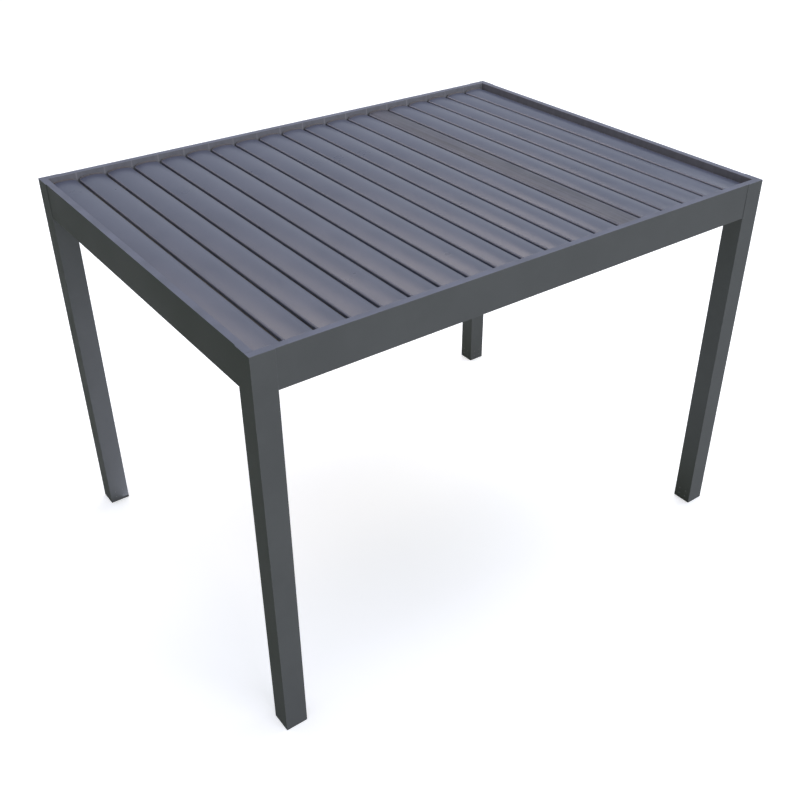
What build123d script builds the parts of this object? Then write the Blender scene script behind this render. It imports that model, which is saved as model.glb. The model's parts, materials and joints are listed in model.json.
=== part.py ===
from build123d import *
import math
import os

# A flat-roofed aluminium gazebo. Four square posts carry a rim of hollow beams, a gutter
# runs round the inside of the rim, and the roof is a row of hollow blades that turn
# together on pins in the front and back beams, linked by a flat bar.
# Millimetres. +X runs along the long side, +Y from the front to the back, +Z up.
# The origin is on the ground, in the middle of the four posts.

# Overall size
frame_length = 4000.0
frame_depth = 3000.0
frame_height = 2780.0

# Posts
post_size = 150.0
post_wall = 4.0
post_corner_radius = 3.0

# Anchor feet inside the posts
foot_fit = 0.3
foot_plate = 10.0
foot_wall = 5.0
foot_height = 120.0
foot_corner = 22.0
anchor_spacing = 90.0
anchor_hole_radius = 6.5

# Beams of the rim
beam_height = 250.0
rim_width = 50.0
beam_wall = 3.0
beam_corner_radius = 2.0
web_levels = (60.0, 155.0)

# Gutter inside the rim
gutter_height = 50.0
gutter_wall = 2.5
gutter_lip = 12.0
drain_hole_radius = 20.0

# Row of blades
nominal_pitch = 205.0
left_gap = 8.0
right_gap = 20.0
front_gap = 40.0
back_gap = 7.0
pivot_drop = 65.0

# Section of a blade
blade_width = 179.0
blade_wall = 1.8
crown_drop = 34.0
edge_fall = 12.0
blade_thickness = 42.0
shoulder_radius = 8.0
chamber_web_offset = 24.0
nose_reach = 20.0
nose_skin = 3.0
drip_length = 21.0
drip_thickness = 2.5
drain_tuck = 10.0
drain_upstand = 18.0
end_cap = 3.0

# Pins and drive. The row's many small pins and their holes have twelve sides, to keep it light.
pin_sides = 12
pin_radius = 6.0
pin_end = 8.0
pin_clearance = 0.15
arm_radius = 40.0
arm_angle = 45.0
arm_thickness = 4.0
arm_width = 18.0
arm_chamfer = 5.0
drive_pin_radius = 4.0
drive_pin_end = 3.0
bar_height = 20.0
bar_thickness = 6.0
bar_gap = 1.0

# Places that follow from the sizes
opening_x = frame_length / 2 - rim_width
opening_y = frame_depth / 2 - rim_width
post_x = frame_length / 2 - post_size / 2
post_y = frame_depth / 2 - post_size / 2
beam_bottom = frame_height - beam_height
beam_width = rim_width - post_wall
gutter_width = post_size - rim_width
row_length = 2 * opening_x - left_gap - right_gap - blade_width
blade_count = round(row_length / nominal_pitch) + 1
pitch = row_length / (blade_count - 1)
pivot_z = frame_height - pivot_drop
blade_front = front_gap - opening_y
blade_back = opening_y - back_gap
drive_x = arm_radius * math.cos(math.radians(arm_angle))
drive_z = -arm_radius * math.sin(math.radians(arm_angle))

# Section of a blade about its pivot
half_width = blade_width / 2
crown_z = pivot_drop - crown_drop
edge_z = crown_z - edge_fall
belly_z = crown_z - blade_thickness
crown_radius = (half_width**2 + edge_fall**2) / (2 * edge_fall)
body_left = nose_reach - half_width


def along_x(section, start, end):
    """Extrude a section drawn in Y and Z from one X to another."""
    plane = Plane(origin=(start, 0, 0), x_dir=(0, 1, 0), z_dir=(1, 0, 0))
    return extrude(plane * section, amount=end - start)


def along_y(section, start, end):
    """Extrude a section drawn in X and Z from one Y to another."""
    plane = Plane(origin=(0, start, 0), x_dir=(1, 0, 0), z_dir=(0, -1, 0))
    return extrude(plane * section, amount=start - end)


def along_z(section, start, end):
    """Extrude a section drawn in X and Y from one Z to another."""
    return extrude(Plane.XY.offset(start) * section, amount=end - start)


def outline(*points):
    """Close a polygon through the points."""
    return make_face(Polyline(*points, close=True).edges())


def rectangle(low, high):
    """Draw a rectangle between two opposite corners."""
    return outline(low, (high[0], low[1]), high, (low[0], high[1]))


def post():
    """Make the post of the +X +Y corner about its own middle.

    Its two outer walls run on up to the top of the rim and cover the ends of the beams,
    which stand on the end of the tube with the gutter.
    """
    tube = RectangleRounded(post_size, post_size, post_corner_radius)
    bore = Rectangle(post_size - 2 * post_wall, post_size - 2 * post_wall)
    skin_face = post_size / 2 - post_wall
    seat = rectangle((-post_size, -post_size), (skin_face, skin_face))
    body = along_z(tube, 0, frame_height) - along_z(seat, beam_bottom, frame_height)
    return body - along_z(bore, 0, beam_bottom)


def foot():
    """Make the anchor foot inside a post: a plate with cut corners, which let water out, and four tabs."""
    side = post_size - 2 * post_wall - 2 * foot_fit
    plate = Rectangle(side, side)
    plate = chamfer(plate.vertices(), foot_corner)
    plate -= GridLocations(anchor_spacing, anchor_spacing, 2, 2) * Circle(anchor_hole_radius)
    tab = Rectangle(foot_wall, side - 2 * foot_corner)
    tabs = Sketch() + [place * tab for place in PolarLocations(side / 2 - foot_wall / 2, 4)]
    return along_z(plate, 0, foot_plate) + along_z(tabs, foot_plate, foot_height)


def beam_section(across):
    """Draw the section of a beam with its middle at a distance across, and its webs."""
    middle = beam_bottom + beam_height / 2
    section = Pos(across, middle) * RectangleRounded(beam_width, beam_height, beam_corner_radius)
    half = beam_width / 2 - beam_wall
    floors = [beam_wall]
    ceilings = []
    for level in web_levels:
        ceilings.append(level - beam_wall / 2)
        floors.append(level + beam_wall / 2)
    ceilings.append(beam_height - beam_wall)
    for low, high in zip(floors, ceilings):
        section -= rectangle((across - half, beam_bottom + low), (across + half, beam_bottom + high))
    return section


def long_beam(side):
    """Make the front (side -1) or back (side +1) beam, with a hole for every pivot pin."""
    reach = frame_length / 2 - post_wall
    beam = along_x(beam_section(side * (opening_y + beam_width / 2)), -reach, reach)
    wall = sorted((side * opening_y, side * (opening_y + 2 * beam_wall)))
    holes = [Pos(x, pivot_z) * pin_hole(pin_radius) for x in pivots()]
    return beam - along_y(Sketch() + holes, *wall)


def short_beam(side):
    """Make the left (side -1) or right (side +1) beam, which runs between the long ones."""
    return along_y(beam_section(side * (opening_x + beam_width / 2)), -opening_y, opening_y)


def gutter_section(side, face):
    """Draw a gutter's U against the inner face of a beam, with its lip turned in at the top."""
    inner = face - side * gutter_width
    top = beam_bottom + gutter_height
    return outline(
        (face, beam_bottom),
        (face, top),
        (face - side * gutter_wall, top),
        (face - side * gutter_wall, beam_bottom + gutter_wall),
        (inner + side * gutter_wall, beam_bottom + gutter_wall),
        (inner + side * gutter_wall, top - gutter_wall),
        (inner + side * gutter_lip, top - gutter_wall),
        (inner + side * gutter_lip, top),
        (inner, top),
        (inner, beam_bottom),
    )


def long_gutter(side):
    """Make the front or back gutter, closed at its ends and open to the side gutters."""
    gutter = along_x(gutter_section(side, side * opening_y), -opening_x, opening_x)
    floor_top = beam_bottom + gutter_wall
    top = beam_bottom + gutter_height
    near = side * opening_y
    far = side * (opening_y - gutter_width)
    for end in (-1, 1):
        wall = end * (opening_x - gutter_wall)
        mouth = end * (opening_x - gutter_width + gutter_wall)
        plate = rectangle((min(near, far), beam_bottom), (max(near, far), top))
        gutter += along_x(plate, min(wall, end * opening_x), max(wall, end * opening_x))
        cut = rectangle((min(wall, mouth), floor_top), (max(wall, mouth), top + gutter_wall))
        back = side * (opening_y - gutter_wall)
        gutter -= along_y(cut, min(back, far - side * gutter_wall), max(back, far - side * gutter_wall))
        drain = Pos(end * (opening_x - gutter_width / 2), (near + far) / 2) * Circle(drain_hole_radius)
        gutter -= along_z(drain, beam_bottom - gutter_wall, floor_top + gutter_wall)
    return gutter


def short_gutter(side):
    """Make the left or right gutter, which runs between the front and back ones."""
    reach = opening_y - gutter_width
    return along_y(gutter_section(side, side * opening_x), -reach, reach)


def pin_hole(radius):
    """Draw the hole that a pin of this radius turns in."""
    return RegularPolygon(radius + pin_clearance, pin_sides, major_radius=False)


def pivots():
    """List the X of every blade's pivot, from the left."""
    first = -opening_x + left_gap + half_width
    return [first + pitch * number for number in range(blade_count)]


def blade_outline(with_drain):
    """Draw a blade's outside about its pivot: crown, drip nose on the left, drain channel on the right."""
    crown = ThreePointArc((-half_width, edge_z), (0, crown_z), (half_width, edge_z))
    drip_end = edge_z - drip_length
    nose_root = crown_z - crown_radius + math.sqrt(crown_radius**2 - body_left**2) - nose_skin
    nose_under = edge_z - shoulder_radius + nose_skin
    points = [(half_width, edge_z)]
    if with_drain:
        drain_end = half_width + pitch - blade_width + drain_tuck
        points += [
            (half_width, belly_z + blade_wall),
            (drain_end - blade_wall, belly_z + blade_wall),
            (drain_end - blade_wall, belly_z + drain_upstand),
            (drain_end, belly_z + drain_upstand),
            (drain_end, belly_z),
        ]
    else:
        points += [(half_width, belly_z)]
    points += [
        (body_left, belly_z),
        (body_left, nose_root),
        (drip_thickness - half_width, nose_under),
        (drip_thickness - half_width, drip_end),
        (-half_width, drip_end),
        (-half_width, edge_z),
    ]
    face = make_face(crown.edges() + Polyline(*points).edges())
    shoulders = [v for v in face.vertices() if abs(v.Y - edge_z) < 0.01]
    return fillet(shoulders, shoulder_radius)


def blade_chambers():
    """Draw the three hollows inside a blade."""
    inside = crown_radius - blade_wall
    middle = crown_z - crown_radius
    roof = Pos(0, middle) * Circle(inside)
    walls = [body_left, -chamber_web_offset, chamber_web_offset, half_width]
    chambers = Sketch()
    for left, right in zip(walls, walls[1:]):
        low = (left + blade_wall, belly_z + blade_wall)
        high = (right - blade_wall, crown_z + blade_wall)
        chambers += rectangle(low, high) & roof
    return chambers


def crank_arm():
    """Draw the arm on a blade's front end, from the pivot to the drive pin."""
    length = arm_radius + arm_width / 2
    bar = Pos(length / 2, 0) * Rectangle(length, arm_width)
    bar = chamfer(bar.vertices().sort_by(Axis.X)[-2:], arm_chamfer)
    return Rot(0, 0, -arm_angle) * (bar + Circle(arm_width / 2))


def blade(with_drain):
    """Make a blade about its pivot, with its end caps, its pivot pins, its arm and its drive pin."""
    solid = along_y(blade_outline(with_drain), blade_front, blade_back)
    solid -= along_y(blade_chambers(), blade_front + end_cap, blade_back - end_cap)
    arm_face = blade_front - arm_thickness
    solid += along_y(crank_arm(), arm_face, blade_front)
    pin = RegularPolygon(pin_radius, pin_sides)
    solid += along_y(pin, -opening_y - beam_wall - pin_end, arm_face)
    solid += along_y(pin, blade_back, opening_y + beam_wall + pin_end)
    drive_pin = Pos(drive_x, drive_z) * RegularPolygon(drive_pin_radius, pin_sides)
    solid += along_y(drive_pin, arm_face - bar_gap - bar_thickness - drive_pin_end, arm_face)
    return solid


def drive_bar():
    """Make the flat bar that links the drive pins of all the blades and hangs on the middle one's."""
    front = blade_front - arm_thickness - bar_gap
    places = pivots()
    bearing = places[blade_count // 2]
    middle = (places[0] + places[-1]) / 2 + drive_x
    bar = Pos(middle, pivot_z + drive_z) * SlotCenterToCenter(places[-1] - places[0], bar_height)
    for x in places:
        hole = Circle(drive_pin_radius + pin_clearance) if x == bearing else pin_hole(drive_pin_radius)
        bar -= Pos(x + drive_x, pivot_z + drive_z) * hole
    return along_y(bar, front - bar_thickness, front)


def save(shape, name):
    """Write one named piece."""
    export_step(shape, os.path.join("parts", name + ".step"))


def main():
    os.makedirs("parts", exist_ok=True)
    corners = {
        "back_right": (1, 1, 0),
        "back_left": (-1, 1, 90),
        "front_left": (-1, -1, 180),
        "front_right": (1, -1, 270),
    }
    corner_post = post()
    corner_foot = foot()
    for corner, (x_side, y_side, turn) in corners.items():
        place = Pos(x_side * post_x, y_side * post_y) * Rot(0, 0, turn)
        save(place * corner_post, "post_" + corner)
        save(place * corner_foot, "foot_" + corner)
    for name, side in (("front", -1), ("back", 1)):
        save(long_beam(side), "beam_" + name)
        save(long_gutter(side), "gutter_" + name)
    for name, side in (("left", -1), ("right", 1)):
        save(short_beam(side), "beam_" + name)
        save(short_gutter(side), "gutter_" + name)
    drained = blade(with_drain=True)
    last = blade(with_drain=False)
    for number, x in enumerate(pivots(), start=1):
        shape = last if number == blade_count else drained
        save(Pos(x, 0, pivot_z) * shape, f"louvre_{number:02d}")
    save(drive_bar(), "drive_bar")


main()
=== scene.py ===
"""Looks of a louvred aluminium gazebo: its coats, metals, seals and small fittings, and the studio.

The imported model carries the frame, the gutters, the louvres and the drive. This script gives each
of them its finish and adds what is too small for the solids: the screws of the feet, the rivets,
sealant and strainers of the gutters, the bushes of the pivots, the screws, clips, cap lips and
seals of the louvres, and the bearings of the drive bar.
"""
import json
import logging
import math
from dataclasses import dataclass, field
from enum import Enum
from typing import Any, Iterable, Sequence

import bpy
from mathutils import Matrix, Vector

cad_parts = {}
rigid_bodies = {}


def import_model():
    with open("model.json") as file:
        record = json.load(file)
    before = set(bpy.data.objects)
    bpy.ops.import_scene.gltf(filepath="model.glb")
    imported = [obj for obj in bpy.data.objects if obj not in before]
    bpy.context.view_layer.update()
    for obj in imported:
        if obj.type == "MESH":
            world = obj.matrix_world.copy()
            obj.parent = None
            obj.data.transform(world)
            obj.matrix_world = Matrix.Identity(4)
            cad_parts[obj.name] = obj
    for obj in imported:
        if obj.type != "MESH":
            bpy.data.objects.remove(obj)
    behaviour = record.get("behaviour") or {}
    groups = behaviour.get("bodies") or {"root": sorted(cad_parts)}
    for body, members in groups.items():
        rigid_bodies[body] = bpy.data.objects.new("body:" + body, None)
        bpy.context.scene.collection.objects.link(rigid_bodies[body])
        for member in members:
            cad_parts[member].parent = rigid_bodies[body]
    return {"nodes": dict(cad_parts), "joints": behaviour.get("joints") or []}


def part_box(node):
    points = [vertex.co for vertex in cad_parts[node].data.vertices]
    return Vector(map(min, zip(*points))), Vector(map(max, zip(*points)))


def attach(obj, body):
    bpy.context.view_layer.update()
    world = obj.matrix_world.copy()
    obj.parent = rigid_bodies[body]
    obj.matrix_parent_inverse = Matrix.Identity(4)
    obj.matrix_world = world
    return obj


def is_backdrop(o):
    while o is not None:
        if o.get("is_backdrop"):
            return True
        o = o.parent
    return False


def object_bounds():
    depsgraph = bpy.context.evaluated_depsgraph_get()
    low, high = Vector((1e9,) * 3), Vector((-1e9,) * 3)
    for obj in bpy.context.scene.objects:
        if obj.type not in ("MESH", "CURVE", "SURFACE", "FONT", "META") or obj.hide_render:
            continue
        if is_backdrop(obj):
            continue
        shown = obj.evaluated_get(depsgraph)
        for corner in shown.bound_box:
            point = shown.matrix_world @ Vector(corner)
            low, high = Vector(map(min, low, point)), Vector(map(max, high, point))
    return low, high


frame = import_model()

LOG = logging.getLogger("gazebo")
MM = 0.001
FRAME_BODY = "frame"

Colour = tuple[float, float, float]
Point = tuple[float, float, float]
Placed = tuple[Point, Point]
Socket = bpy.types.NodeSocket
Tree = bpy.types.NodeTree
Material = bpy.types.Material
Values = dict[str, Any]
Job = tuple[Tree, bpy.types.Mesh, Values]

ORIGIN: Point = (0.0, 0.0, 0.0)
SQUARE = ((-1, -1), (1, -1), (1, 1), (-1, 1))


class Axis(Enum):
    """Directions that fittings face and grain follows, as unit vectors."""

    X = (1.0, 0.0, 0.0)
    Y = (0.0, 1.0, 0.0)
    Z = (0.0, 0.0, 1.0)

    def turned(self, sign: float) -> Point:
        """Return this direction, or its opposite where the sign is negative."""
        return tuple(sign * part for part in self.value)


class Shade(Enum):
    """How a louvre's coat came out of the oven, against the rest of its batch."""

    PLAIN = "plain"
    DULL = "dull"


def srgb(*parts: int) -> Colour:
    """Turn a colour written in 0 to 255 into the linear one that a shader takes."""
    shares = (part / 255 for part in parts)
    return tuple(s / 12.92 if s <= 0.04045 else ((s + 0.055) / 1.055) ** 2.4 for s in shares)


def scaled(colour: Colour, factor: float) -> Colour:
    """Make a colour lighter or darker by a factor."""
    return tuple(part * factor for part in colour)


def shades(colour: Colour, reach: float) -> tuple[Colour, Colour]:
    """Return a darker and a lighter shade of a colour, by a share of it."""
    return scaled(colour, 1 - reach), scaled(colour, 1 + reach)


def emptied(owner: Material | bpy.types.World) -> Tree:
    """Return the node tree of a material or a world with nothing in it.

    Args:
        owner: The material or the world.

    Returns:
        Its node tree.
    """
    owner.use_nodes = True
    owner.node_tree.nodes.clear()
    return owner.node_tree


def show(name: str, data: bpy.types.ID) -> bpy.types.Object:
    """Make an object for some data at the origin and link it to the scene.

    Args:
        name: The object's name.
        data: Its mesh, lamp or camera.

    Returns:
        The object.
    """
    thing = bpy.data.objects.new(name, data)
    bpy.context.scene.collection.objects.link(thing)
    return thing


class Graph:
    """Adds nodes to a shader, geometry or world node tree and links them."""

    def __init__(self, tree: Tree) -> None:
        """Keep the tree that the nodes go into."""
        self.tree = tree

    def add(self, kind: str, inputs: dict | None = None, **settings: Any) -> bpy.types.Node:
        """Add a node.

        Args:
            kind: Blender's name of the node type.
            inputs: Values or linked output sockets, by the name or number of the input.
            settings: The node's own settings.

        Returns:
            The new node.
        """
        node = self.tree.nodes.new(kind)
        for name, value in settings.items():
            setattr(node, name, value)
        for key, value in (inputs or {}).items():
            goal = node.inputs[key]
            if isinstance(value, Socket):
                self.tree.links.new(value, goal)
            elif goal.type == "RGBA":
                goal.default_value = (*value, 1.0)
            else:
                goal.default_value = value
        return node

    def first(self, kind: str, inputs: dict | None = None, **settings: Any) -> Socket:
        """Add a node and return its first output."""
        return self.add(kind, inputs, **settings).outputs[0]

    def math(self, operation: str, *values: Any, clamp: bool = False) -> Socket:
        """Work out numbers or sockets, and keep the result between 0 and 1 where it is clamped."""
        return self.first("ShaderNodeMath", dict(enumerate(values)), operation=operation, use_clamp=clamp)

    def times(self, one: Any, other: Any) -> Socket:
        """Multiply two numbers or sockets."""
        return self.math("MULTIPLY", one, other)

    def apart(self, one: Any, other: Any) -> Socket:
        """Return how far apart two numbers or sockets are."""
        return self.math("ABSOLUTE", self.math("SUBTRACT", one, other))

    def mix(self, factor: Any, first: Any, second: Any) -> Socket:
        """Mix two colours, with the second one's share as the factor."""
        inputs = {0: factor, 6: first, 7: second}
        return self.add("ShaderNodeMix", inputs, data_type="RGBA").outputs[2]

    def span(self, value: Any, low: Any, high: Any, start: Any = 0.0, end: Any = 1.0) -> Socket:
        """Map a value smoothly from the range of low to high to that of start to end."""
        inputs = {"Value": value, "From Min": low, "From Max": high, "To Min": start, "To Max": end}
        return self.first("ShaderNodeMapRange", inputs, interpolation_type="SMOOTHSTEP")

    def noise(self, place: Socket, scale: Any, detail: float, roughness: float = 0.5) -> Socket:
        """Return a noise of the given scale at a place."""
        inputs = {"Vector": place, "Scale": scale, "Detail": detail, "Roughness": roughness}
        return self.first("ShaderNodeTexNoise", inputs)

    def split(self, vector: Socket) -> Any:
        """Return a vector's parts, by the names X, Y and Z."""
        return self.add("ShaderNodeSeparateXYZ", {"Vector": vector}).outputs

    def vector(self, **parts: Any) -> Socket:
        """Return a vector of the parts named X, Y and Z."""
        return self.first("ShaderNodeCombineXYZ", parts)

    def stretched(self, vector: Socket, factors: Any) -> Socket:
        """Multiply a vector's parts by a factor each."""
        return self.first("ShaderNodeVectorMath", {0: vector, 1: factors}, operation="MULTIPLY")


class Group(Graph):
    """The graph of a node group, which gives the group's inputs by name."""

    SOCKETS = {float: "NodeSocketFloat", int: "NodeSocketInt", tuple: "NodeSocketVector"}

    def __init__(self, name: str, kind: str, inputs: Values, outputs: dict[str, str]) -> None:
        """Start the group with its sockets.

        Args:
            name: The group's name.
            kind: Blender's name of the tree type.
            inputs: First value of each input, or its socket type, by name.
            outputs: Socket type of each output, by name.
        """
        super().__init__(bpy.data.node_groups.new(name, kind))
        for label, value in inputs.items():
            if isinstance(value, str):
                self._socket(label, value, "INPUT")
            else:
                self._socket(label, self.SOCKETS[type(value)], "INPUT").default_value = value
        for label, socket_type in outputs.items():
            self._socket(label, socket_type, "OUTPUT")
        self.source = self.add("NodeGroupInput")

    def _socket(self, name: str, kind: str, side: str) -> bpy.types.NodeTreeInterfaceSocket:
        """Add a socket to the group's interface."""
        return self.tree.interface.new_socket(name=name, in_out=side, socket_type=kind)

    def __getitem__(self, name: str) -> Socket:
        """Return the socket that brings an input in."""
        return self.source.outputs[name]


class MaskGroup(Group):
    """A shader group that takes a place and some values and puts out masks or heights."""

    def __init__(self, name: str, inputs: Values, *masks: str) -> None:
        """Start the group.

        Args:
            name: The group's name.
            inputs: First value of each input after the place, by name.
            masks: Names of what it puts out.
        """
        outputs = dict.fromkeys(masks, "NodeSocketFloat")
        super().__init__(name, "ShaderNodeTree", {"Vector": ORIGIN, **inputs}, outputs)
        self.masks = masks

    def close(self, *sockets: Socket) -> Tree:
        """Put the masks out, in the order of their names, and return the tree."""
        self.add("NodeGroupOutput", dict(zip(self.masks, sockets)))
        return self.tree

    def from_nearest(self, along: Socket) -> Socket:
        """Measure how far a place lies from the nearest mark of a row with a first mark and a pitch.

        Args:
            along: The place's measure along the row.

        Returns:
            The distance.
        """
        half = self.times(self["Pitch"], 0.5)
        from_first = self.math("SUBTRACT", along, self["First"])
        return self.math("ABSOLUTE", self.math("WRAP", from_first, half, self.times(half, -1.0)))


class Effects:
    """The shader node groups that several finishes share, each built once.

    Two numbers together are the range that a noise, or a part of a face's normal, fades over. Four
    are such a range and the shares of a mark that its two ends leave.
    """

    FINE_GRAIN = 3.1
    FINE_SHARE = 0.35
    CLOUDS = (0.3, 0.7)
    LOOKS_UP = (0.55, 0.98)
    PATCHES = (0.3, 0.75)
    SPOT_SCALE = 130.0
    SPOTS = (0.42, 0.3, 0.0, 0.1)
    CHIP_SCALE = 38.0
    CHIPS = (0.35, 0.65, 0.25, 1.0)
    WEAR_SCALE = 12.0
    WEAR = (0.3, 0.65, 0.35, 1.0)
    # Nose faces take a painted highlight; channel walls take silt and painted light.
    NOSE_FACES = (-0.4, -0.9)
    SILT_FACES = (-0.3, 0.7)
    DRIFT_SCALE = 6.0
    DRIFT = (0.3, 0.6, 0.55, 1.0)
    # The walls inside the rim take a lighter, streaky layer of painted light, and painted highlight runs.
    WALL_DEPTH = 0.6 * MM
    STREAK_STRETCH = (26.0, 26.0, 5.0)
    FILM = (0.3, 0.7, 0.8, 1.0)
    RUNS = (0.25, 0.6, 0.4, 1.0)

    def __init__(self) -> None:
        """Build the groups."""
        self.powder = self._powder()
        self.dust = self._dust()
        self.worn_edge = self._worn_edge()
        self.drawn = self._drawn()
        self.end_caps = self._end_caps()
        self.row_edge = self._row_edge()
        self.rain = self._rain()

    def _powder(self) -> Tree:
        """Build the fine orange peel and the soft clouding of a powder coat.

        Returns:
            The tree.
        """
        group = MaskGroup("Powder Coat", {"Grain Scale": 420.0, "Cloud Scale": 2.2}, "Height", "Cloud")
        place, grain = group["Vector"], group["Grain Scale"]
        peel = group.noise(place, grain, detail=3.0, roughness=0.55)
        fine = group.noise(place, group.times(grain, self.FINE_GRAIN), detail=1.0)
        cloud = group.noise(place, group["Cloud Scale"], detail=4.0, roughness=0.6)
        height = group.math("MULTIPLY_ADD", fine, self.FINE_SHARE, peel)
        return group.close(height, group.span(cloud, *self.CLOUDS))

    def _dust(self) -> Tree:
        """Build the mask of faces that look up, in patches and dried spots: dust and dried rain on most coats,
        and on the frame's coats a near-even cover that is painted light on the tops.

        Returns:
            The tree.
        """
        inputs = {"Normal": ORIGIN, "Amount": 0.3, "Evenness": 0.0, "Patch Scale": 5.0}
        group = MaskGroup("Settled Dust", inputs, "Mask")
        place = group["Vector"]
        flat = group.span(group.split(group["Normal"])["Z"], *self.LOOKS_UP)
        patches = group.noise(place, group["Patch Scale"], detail=3.0)
        patches = group.span(patches, *self.PATCHES, group["Evenness"], 1.0)
        inputs = {"Vector": place, "Scale": self.SPOT_SCALE}
        cells = group.add("ShaderNodeTexVoronoi", inputs, feature="F1")
        dried = group.span(cells.outputs["Distance"], *self.SPOTS)
        cover = group.times(group.math("ADD", patches, dried), flat)
        return group.close(group.math("MULTIPLY", cover, group["Amount"], clamp=True))

    def _worn_edge(self) -> Tree:
        """Build the lighter line along the edges of a box, mirrored in X and Y: wear from handling, and a
        painted highlight where the edges catch the light.

        Returns:
            The tree.
        """
        group = MaskGroup("Worn Edge", {"Low": ORIGIN, "High": (1.0, 1.0, 1.0), "Width": 0.003}, "Mask")
        place, low, high = (group.split(group[name]) for name in ("Vector", "Low", "High"))
        depths = []
        for part in "XYZ":
            here = place[part] if part == "Z" else group.math("ABSOLUTE", place[part])
            ends = group.apart(here, low[part]), group.apart(here, high[part])
            depths.append(group.math("MINIMUM", *ends))
        pairs = [group.math("MAXIMUM", depths[a], depths[b]) for a, b in ((0, 1), (1, 2), (0, 2))]
        nearest = group.math("MINIMUM", group.math("MINIMUM", *pairs[:2]), pairs[2])
        chips = group.span(group.noise(group["Vector"], self.CHIP_SCALE, detail=5.0), *self.CHIPS)
        return group.close(group.times(group.span(nearest, group["Width"], 0.0), chips))

    def _drawn(self) -> Tree:
        """Build the fine lines that a die, a mill or a brush leaves along a metal.

        Returns:
            The tree.
        """
        group = MaskGroup("Drawn Lines", {"Stretch": (4.0, 4.0, 900.0)}, "Lines")
        drawn = group.stretched(group["Vector"], group["Stretch"])
        return group.close(group.noise(drawn, 1.0, detail=3.0, roughness=0.7))

    def _end_caps(self) -> Tree:
        """Build the caps pressed on both ends of an extrusion, with the hairline where each meets it.

        Returns:
            The tree.
        """
        group = MaskGroup("End Caps", {"Front": -1.0, "Back": 1.0, "Width": 0.8 * MM}, "Cap", "Seam")
        along = group.split(group["Vector"])["Y"]
        past_back = group.math("SUBTRACT", along, group["Back"])
        past = group.math("MAXIMUM", group.math("SUBTRACT", group["Front"], along), past_back)
        seam = group.span(group.math("ABSOLUTE", past), group["Width"], 0.0)
        return group.close(group.math("GREATER_THAN", past, 0.0), seam)

    def _row_edge(self) -> Tree:
        """Build the lines along each louvre's long edges, wear with a painted highlight, a painted highlight on
        its nose, and the silt in its channel, which also paints light into the shade there.

        Returns:
            The tree.
        """
        inputs = {"Normal": ORIGIN, "First": 0.0, "Pitch": 0.2, "Half Width": 0.09, "Line": 0.003}
        inputs.update({"Level": 0.0, "Nose Rise": 0.01})
        group = MaskGroup("Row Edge", inputs, "Edge", "Nose", "Silt")
        place, normal = group.split(group["Vector"]), group.split(group["Normal"])
        inset = group.apart(group["Half Width"], group.from_nearest(place["X"]))
        above = group.math("GREATER_THAN", place["Z"], group["Level"])
        wear = group.span(group.noise(group["Vector"], self.WEAR_SCALE, detail=4.0), *self.WEAR)
        # Long-edge line: wear, and a painted highlight.
        edge = group.times(group.times(group.span(inset, group["Line"], 0.0), wear), above)
        rim = group.math("LESS_THAN", inset, group["Line"])
        # A painted highlight on the nose faces that look towards minus X.
        nose = group.times(rim, group.span(normal["X"], *self.NOSE_FACES))
        nose_level = group.math("ADD", group["Level"], group["Nose Rise"])
        high = group.math("GREATER_THAN", place["Z"], nose_level)
        # Channel walls below the pivot: silt, which also paints light into their shade.
        silt_and_light = group.times(group.math("SUBTRACT", 1.0, above), group.span(normal["Z"], *self.SILT_FACES))
        drift = group.span(group.noise(group["Vector"], self.DRIFT_SCALE, detail=6.0), *self.DRIFT)
        return group.close(edge, group.times(nose, high), group.times(silt_and_light, drift))

    def _rain(self) -> Tree:
        """Build a lighter, streaky layer on the walls inside the rim, painted light with the look of dried rain,
        and a painted highlight run opposite each roof gap.

        Returns:
            The tree.
        """
        inputs = {"Depth": 1.0, "Inside": 1.0, "Along": 0.0, "First": 0.0, "Pitch": 1.0}
        inputs["Run Width"] = 9.0 * MM
        group = MaskGroup("Rain Marks", inputs, "Film", "Run")
        inside = group.math("LESS_THAN", group.apart(group["Depth"], group["Inside"]), self.WALL_DEPTH)
        streaks = group.noise(group.stretched(group["Vector"], self.STREAK_STRETCH), 1.0, detail=5.0)
        # Painted light on the inner walls, streaked like dried rain.
        film = group.span(streaks, *self.FILM)
        # A painted highlight run opposite each roof gap.
        run = group.span(group.from_nearest(group["Along"]), group["Run Width"], 0.0)
        run = group.times(run, group.span(streaks, *self.RUNS))
        return group.close(group.times(inside, film), group.times(inside, run))


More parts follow.
